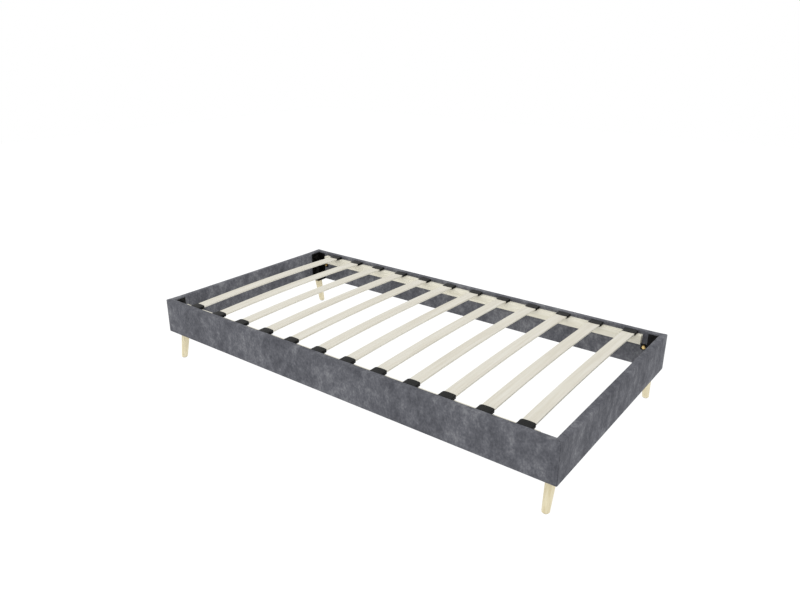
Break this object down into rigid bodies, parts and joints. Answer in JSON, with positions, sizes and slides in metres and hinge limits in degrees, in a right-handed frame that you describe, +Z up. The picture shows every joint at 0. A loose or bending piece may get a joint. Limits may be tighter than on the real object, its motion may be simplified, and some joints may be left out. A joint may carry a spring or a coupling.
{
  "type": "upholstered bed frame",
  "caption": "Low single bed frame: padded fabric-covered box on splayed wooden legs, with bowed lift-out wooden slats in plastic end caps on ledge battens.",
  "frame": {"origin": "on the floor, below the middle of the frame", "axes": "+X along the length of the bed, +Y across it, +Z up"},
  "size_m": [2.058, 1.066, 0.3085],
  "materials": {
    "fabric": "matt mottled grey velvet-like upholstery",
    "board": "raw particle board",
    "foam": "thin open-cell foam sheet",
    "batten_wood": "planed pale softwood",
    "slat_wood": "smooth pale laminated birch",
    "leg_wood": "turned pale wood, clear satin lacquer",
    "cap_plastic": "black moulded plastic",
    "black_steel": "black powder coat",
    "zinc": "yellow zinc-plated steel",
    "felt": "dense felt"
  },
  "bodies": {
    "frame": {"board_front": "board", "board_back": "board", "board_left": "board", "board_right": "board", "foam_front": "foam", "foam_back": "foam", "foam_left": "foam", "foam_right": "foam", "cover_front": "fabric", "cover_back": "fabric", "cover_left": "fabric", "cover_right": "fabric", "batten_front": "batten_wood", "batten_back": "batten_wood", "batten_screws": "zinc", "bracket_front_left": "black_steel", "bracket_front_right": "black_steel", "bracket_back_left": "black_steel", "bracket_back_right": "black_steel", "bracket_bolts": "zinc", "bracket_washers": "zinc", "insert_nuts": "zinc", "leg_front_left": "leg_wood", "leg_front_right": "leg_wood", "leg_back_left": "leg_wood", "leg_back_right": "leg_wood", "leg_bolts": "zinc", "leg_washers": "zinc", "leg_nuts": "zinc", "foot_glides": "felt"},
    "slat_unit_01": {"slat_01": "slat_wood", "slat_caps_01": "cap_plastic"},
    "slat_unit_02": {"slat_02": "slat_wood", "slat_caps_02": "cap_plastic"},
    "slat_unit_03": {"slat_03": "slat_wood", "slat_caps_03": "cap_plastic"},
    "slat_unit_04": {"slat_04": "slat_wood", "slat_caps_04": "cap_plastic"},
    "slat_unit_05": {"slat_05": "slat_wood", "slat_caps_05": "cap_plastic"},
    "slat_unit_06": {"slat_06": "slat_wood", "slat_caps_06": "cap_plastic"},
    "slat_unit_07": {"slat_07": "slat_wood", "slat_caps_07": "cap_plastic"},
    "slat_unit_08": {"slat_08": "slat_wood", "slat_caps_08": "cap_plastic"},
    "slat_unit_09": {"slat_09": "slat_wood", "slat_caps_09": "cap_plastic"},
    "slat_unit_10": {"slat_10": "slat_wood", "slat_caps_10": "cap_plastic"},
    "slat_unit_11": {"slat_11": "slat_wood", "slat_caps_11": "cap_plastic"},
    "slat_unit_12": {"slat_12": "slat_wood", "slat_caps_12": "cap_plastic"}
  },
  "joints": [
    {"name": "slat_lift_01", "type": "slide", "parent": "frame", "child": "slat_unit_01", "axis": [0, 0, 1], "range_m": [0, 0.1]},
    {"name": "slat_lift_02", "type": "slide", "parent": "frame", "child": "slat_unit_02", "axis": [0, 0, 1], "range_m": [0, 0.1]},
    {"name": "slat_lift_03", "type": "slide", "parent": "frame", "child": "slat_unit_03", "axis": [0, 0, 1], "range_m": [0, 0.1]},
    {"name": "slat_lift_04", "type": "slide", "parent": "frame", "child": "slat_unit_04", "axis": [0, 0, 1], "range_m": [0, 0.1]},
    {"name": "slat_lift_05", "type": "slide", "parent": "frame", "child": "slat_unit_05", "axis": [0, 0, 1], "range_m": [0, 0.1]},
    {"name": "slat_lift_06", "type": "slide", "parent": "frame", "child": "slat_unit_06", "axis": [0, 0, 1], "range_m": [0, 0.1]},
    {"name": "slat_lift_07", "type": "slide", "parent": "frame", "child": "slat_unit_07", "axis": [0, 0, 1], "range_m": [0, 0.1]},
    {"name": "slat_lift_08", "type": "slide", "parent": "frame", "child": "slat_unit_08", "axis": [0, 0, 1], "range_m": [0, 0.1]},
    {"name": "slat_lift_09", "type": "slide", "parent": "frame", "child": "slat_unit_09", "axis": [0, 0, 1], "range_m": [0, 0.1]},
    {"name": "slat_lift_10", "type": "slide", "parent": "frame", "child": "slat_unit_10", "axis": [0, 0, 1], "range_m": [0, 0.1]},
    {"name": "slat_lift_11", "type": "slide", "parent": "frame", "child": "slat_unit_11", "axis": [0, 0, 1], "range_m": [0, 0.1]},
    {"name": "slat_lift_12", "type": "slide", "parent": "frame", "child": "slat_unit_12", "axis": [0, 0, 1], "range_m": [0, 0.1]}
  ]
}
